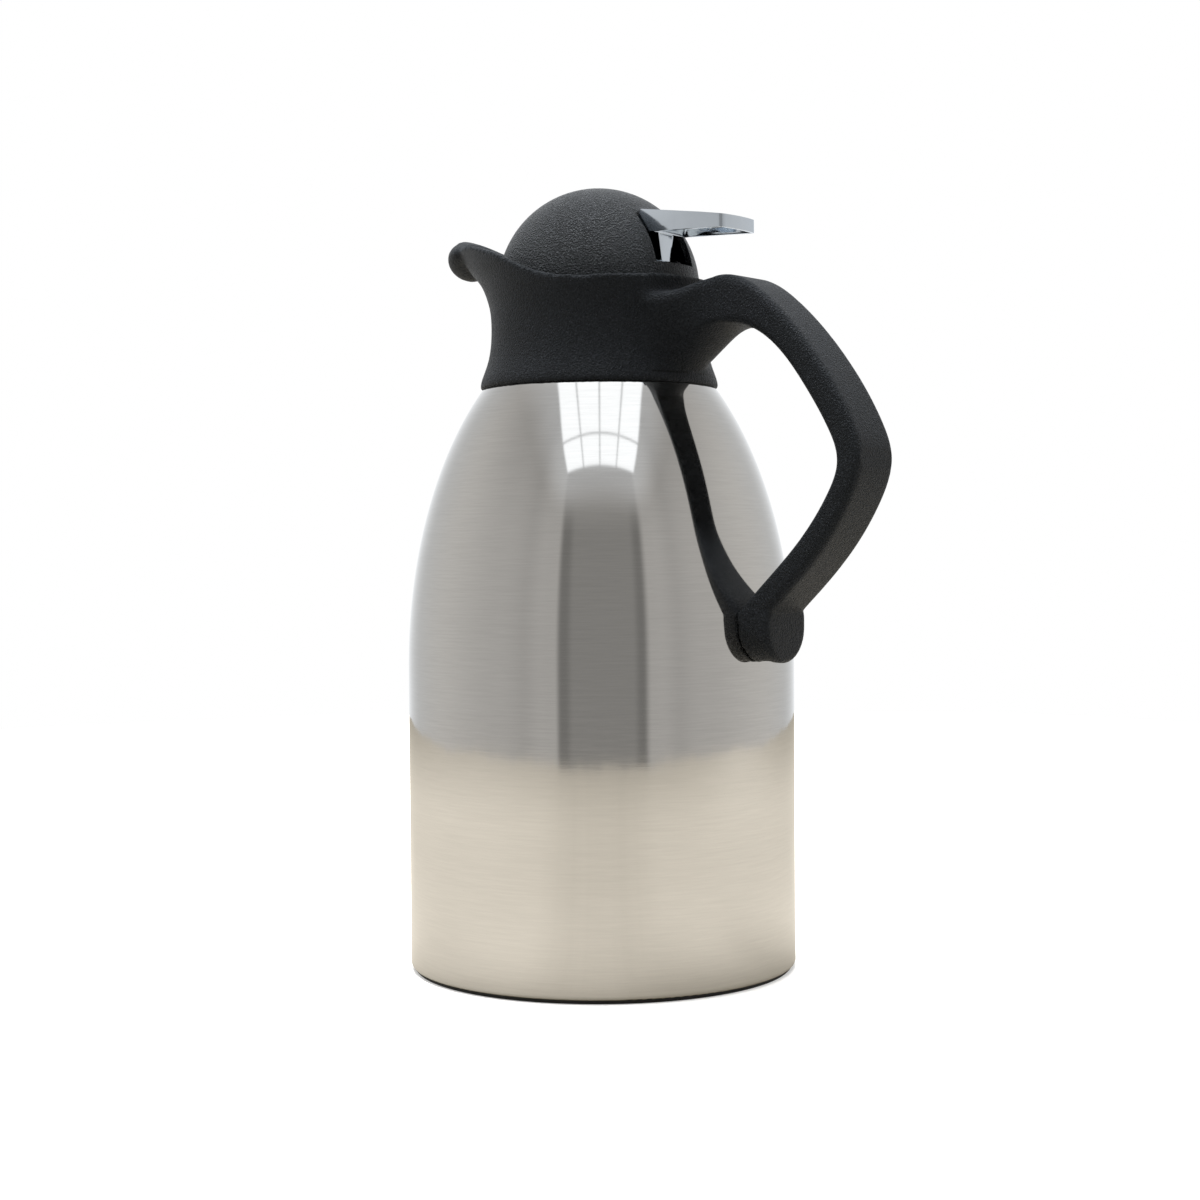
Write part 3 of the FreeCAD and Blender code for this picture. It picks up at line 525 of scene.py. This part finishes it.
def collar_with_handle():
    """Collar, spout and handle as the one moulding that they look like."""
    handle = copy_of("handle", "handle_copy")
    piece = copy_of("collar", "collar_with_handle")
    handle.select_set(True)
    bpy.ops.object.join()
    modify(piece, "REMESH", mode="VOXEL", voxel_size=skin_voxel)
    weigh(piece, "root", root_weight)
    weigh(piece, "tip", tip_weight)
    smooth(piece, root_rounds, "root")
    smooth(piece, tip_rounds, "tip")
    swell(piece, tip_swell, "tip")
    smooth(piece, skin_rounds)
    swell(piece, skin_swell)
    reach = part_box("handle")[1].x
    for corner in piece.data.vertices:
        corner.co.x = min(corner.co.x, reach)
    choose(piece)
    bpy.ops.object.shade_smooth()
    dress(piece, "black_plastic")
    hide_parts("collar", "handle")
    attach(piece, "jug")


lever_slices = 9
lever_tip_start = 56.0 * MM
lever_setback = 1.2 * MM
lever_edge = 0.3 * MM
lever_edge_steps = 2
lever_edge_angle = math.radians(40)


def bright_lever():
    """The lever with its tip bowed in plan and its edges broken."""
    piece = copy_of("press_lever", "bright_lever")
    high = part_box("press_lever")[1]
    bpy.ops.object.mode_set(mode="EDIT")
    for step in range(1, lever_slices):
        across = high.y * (2 * step / lever_slices - 1)
        bpy.ops.mesh.select_all(action="SELECT")
        bpy.ops.mesh.bisect(plane_co=(0, across, 0), plane_no=(0, 1, 0))
    bpy.ops.mesh.select_all(action="SELECT")
    bpy.ops.mesh.bisect(plane_co=(lever_tip_start, 0, 0), plane_no=(1, 0, 0))
    bpy.ops.object.mode_set(mode="OBJECT")
    for corner in piece.data.vertices:
        if corner.co.x > lever_tip_start:
            share = (corner.co.x - lever_tip_start) / (high.x - lever_tip_start)
            corner.co.x -= lever_setback * share * (corner.co.y / high.y) ** 2
    modify(piece, "BEVEL", width=lever_edge, segments=lever_edge_steps, limit_method="ANGLE",
           angle_limit=lever_edge_angle)
    choose(piece)
    bpy.ops.object.shade_smooth_by_angle(angle=crease_angle)
    dress(piece, "lever_chrome")
    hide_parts("press_lever")
    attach(piece, "lever")


def coiled_spring():
    """The valve spring, which is pressed together against its seat when the valve lifts."""
    piece = copy_of("valve_spring", "coiled_spring")
    bpy.ops.object.shade_smooth_by_angle(angle=crease_angle)
    dress(piece, "spring_steel")
    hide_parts("valve_spring")
    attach(piece, "lid")
    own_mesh(piece)


def round_the_jug(sheet, x, y):
    """How far a place lies ahead, on the photograph's side, and to its right, and its turn in degrees."""
    ahead = x * towards_camera.x + y * towards_camera.y
    side = x * camera_right.x + y * camera_right.y
    return ahead, side, sheet.math("ARCTAN2", side, ahead) * DEGREES


floor_radius = 0.875
floor_sides = 240
floor_side_stretch = 0.11
floor_back_stretch = 0.3
floor_wave = 0.012
# The waves of the floor's edge: how many go round, their shift and their share
floor_waves = ((9, 1.0, 1.0), (23, 0.0, 0.6), (51, 0.0, 0.4))

# Where the floor's tone changes, in metres from the jug or in degrees from straight ahead
floor_white_range = (0.12, 0.45)
floor_far_range = (0.3, 0.62)
floor_middle_shift = 2
floor_middle_range = (14, 34)
floor_behind_range = (100, 165)
floor_streaks_per_degree = 0.16

floor_warm = (0.22, 0.206, 0.183)
floor_plain = (0.5, 0.49, 0.475)
floor_bounce = (0.35, 0.35, 0.35)
floor_mirrored_glow = (0.124, 0.105, 0.067)
floor_near_glow = (0.42, 0.42, 0.42)
floor_white_glow = (1.0, 1.0, 1.0)
no_glow = (0.0, 0.0, 0.0)


def wavy_disc():
    """A disc whose edge waves a little, so that its mirrored edge is no ruled line."""
    deselect()
    bpy.ops.mesh.primitive_circle_add(vertices=floor_sides, radius=floor_radius, fill_type="NGON")
    disc = bpy.context.object
    for corner in disc.data.vertices:
        turn = math.atan2(corner.co.dot(camera_right), corner.co.dot(towards_camera))
        waves = sum(share * math.sin(count * turn + shift) for count, shift, share in floor_waves)
        stretch = floor_side_stretch * math.sin(min(abs(turn), math.pi / 2)) ** 2
        stretch += floor_back_stretch * max(0, -math.cos(turn)) ** 2
        corner.co *= 1 + stretch + floor_wave * waves
    return disc


def add_floor():
    """A pale round sheet, seen as white, that keeps the contact shadow."""
    floor = wavy_disc()
    floor.name = "floor"
    sheet = new_sheet("pale_floor")
    seen = sheet.ray("Camera")
    mirrored = sheet.ray("Glossy")
    x, y, z = sheet.parts_of(sheet.place())
    ahead, side, turn = round_the_jug(sheet, x, y)
    distance = (x * x + y * y) ** 0.5
    # What bright metal mirrors, as painted light and shade: paler further off, streaked and darker in the
    # middle, darker behind
    streaks = sheet.vector(turn * floor_streaks_per_degree, 0, 0)
    streaks = sheet.noise(streaks, scale=1.0, detail=3.0, roughness=0.6)
    middle = sheet.fade(abs(turn + floor_middle_shift), *floor_middle_range)
    far = sheet.rise(distance, *floor_far_range)
    behind = sheet.rise(abs(turn), *floor_behind_range)
    pale = sheet.clamp(0.4 + far * 0.6 - middle * (0.1 + streaks * 0.5) - behind * 0.8)
    warm = sheet.shades(pale, floor_warm, dark=0.85, light=1.15)
    # What is seen: lit round the jug, and running out into white
    white = sheet.mix(sheet.rise(distance, *floor_white_range), floor_near_glow, floor_white_glow)
    # Painted light: the floor glows where bright metal mirrors it, though it is no lamp.
    glow = sheet.mix(seen, sheet.mix(mirrored, no_glow, floor_mirrored_glow), white)
    colour = sheet.mix(seen, sheet.mix(mirrored, floor_bounce, warm), floor_plain)
    pale_floor = sheet.principled([
        ("Base Color", colour),
        ("Roughness", 0.9),
        ("Emission Color", glow),
        ("Emission Strength", 1.0),
    ])
    floor.data.materials.append(pale_floor)


# The room that bright metal mirrors. Ranges are in degrees from straight ahead, or up from level.
room_level = 0.44
room_rises = (((30, 64), 0.12), ((60, 115), 0.13), ((135, 172), 0.3))
beam_inner_range = (24, 27)
beam_outer_range = (34, 48)
beam_gain = 0.1
upward_range = (18, 62)
upward_loss = 0.3
door_middle = 1
door_side_range = (24, 28)
door_top_range = (24, 36)
door_loss = 0.12
post_range = (17, 22)
post_loss = 0.08


def mirrored_room(sheet, turn, lift):
    """How bright the room is: grey ahead, paler round the sides, white behind, with a dark doorway."""
    away = abs(turn)
    room = room_level
    for span, gain in room_rises:
        room = room + sheet.rise(away, *span) * gain
    beam = sheet.rise(away, *beam_inner_range) * sheet.fade(away, *beam_outer_range)
    room = room + beam * beam_gain
    room = room * (1 - sheet.rise(lift, *upward_range) * upward_loss)
    across_door = abs(turn - door_middle)
    door = sheet.fade(across_door, *door_side_range) * sheet.fade(lift, *door_top_range)
    posts = sheet.rise(across_door, *post_range) * door
    return room - door * door_loss - posts * post_loss


# The window above the jug. Lengths, to the side and ahead, are shares of the window's height.
roof_lowest = 0.05
roof_back = -0.35
window_middle = 0.01
window_half_width = 0.46
window_flare = 0.06
window_flare_range = (0.1, 0.9)
window_side_range = (-0.015, 0.015)
window_end_range = (1.03, 1.07)
window_bars = (-0.25, 0.0, 0.25)
window_bar_range = (0.004, 0.016)
cross_bar = 0.73
cross_bar_range = (0.006, 0.02)
bar_loss = 0.45
pane_level = 1.65
halo_side_range = (0.0, 0.5)
halo_end_range = (1.05, 1.7)


def mirrored_window(sheet, ahead, side, up):
    """Where the window above the jug and its halo are, and how bright its panes are between the bars."""
    across = side / up
    along = ahead / up
    edge = window_half_width + sheet.rise(along, *window_flare_range) * window_flare
    beyond = abs(across - window_middle) - edge
    roof = (up > roof_lowest) * (along > roof_back)
    halo = sheet.fade(beyond, *halo_side_range) * sheet.fade(along, *halo_end_range) * roof
    window = sheet.fade(beyond, *window_side_range) * sheet.fade(along, *window_end_range) * roof
    bars = sum(sheet.fade(abs(across - bar), *window_bar_range) for bar in window_bars)
    bars = bars + sheet.fade(abs(along - cross_bar), *cross_bar_range)
    pane = pane_level * (1 - sheet.clamp(bars) * bar_loss)
    return window, halo, pane


halo_gain = 0.25
halo_coolness = 0.7
cool_range = (100, 165)
warm_room = (1.0, 0.972, 0.928)
cool_room = (0.96, 0.98, 1.0)
plain_white = (1, 1, 1, 1)
plain_level = 0.15
backdrop_level = 1.0


def add_world():
    """White behind the jug, plain light, and the studio that bright metal mirrors."""
    world = bpy.data.worlds.new("studio")
    bpy.context.scene.world = world
    sheet = Sheet(world)
    x, y, z = sheet.parts_of(sheet.add("TexCoord", output="Generated"))
    ahead, side, turn = round_the_jug(sheet, x, y)
    room = mirrored_room(sheet, turn, sheet.math("ARCSINE", z) * DEGREES)
    window, halo, pane = mirrored_window(sheet, ahead, side, z)
    level = (room + halo * halo_gain) * (1 - window) + window * pane
    cool = sheet.clamp(sheet.rise(abs(turn), *cool_range) + halo * halo_coolness + window)
    tint = sheet.mix(cool, warm_room, cool_room)
    mirror = sheet.add("Background", [("Color", tint), ("Strength", level)])
    plain = sheet.add("Background", [("Color", plain_white), ("Strength", plain_level)])
    backdrop = sheet.add("Background", [("Color", plain_white), ("Strength", backdrop_level)])
    lit = sheet.add("MixShader", [(0, sheet.ray("Glossy")), (1, plain), (2, mirror)])
    seen = sheet.add("MixShader", [(0, sheet.ray("Camera")), (1, lit), (2, backdrop)])
    sheet.node("OutputWorld", [("Surface", seen)])


jug_middle = Vector((0, 0, 0.15))


def add_light(name, ahead, side, height, width, depth, power):
    """A soft panel that points at the jug's middle, set ahead of it and to its right."""
    place = towards_camera * ahead + camera_right * side + Vector((0, 0, height))
    deselect()
    bpy.ops.object.light_add(type="AREA", location=place)
    light = bpy.context.object
    light.name = name
    light.data.shape = "RECTANGLE"
    light.data.size = width
    light.data.size_y = depth
    light.data.energy = power
    light.rotation_euler = (place - jug_middle).to_track_quat("Z", "Y").to_euler()
    light.visible_glossy = False
    light.visible_camera = False


def add_studio():
    add_floor()
    add_world()
    add_light("window_light", ahead=-0.12, side=-0.1, height=1.2, width=0.9, depth=0.8, power=72)
    add_light("left_light", ahead=0.3, side=-1.1, height=0.8, width=0.7, depth=0.9, power=3)
    add_light("right_light", ahead=0.1, side=1.1, height=0.6, width=0.6, depth=0.9, power=7)


def main():
    bpy.context.scene.view_settings.view_transform = "Standard"
    add_camera()
    add_finishes()
    dress_nodes()
    steel_shell()
    collar_with_handle()
    bright_lever()
    coiled_spring()
    add_studio()
    deselect()


main()
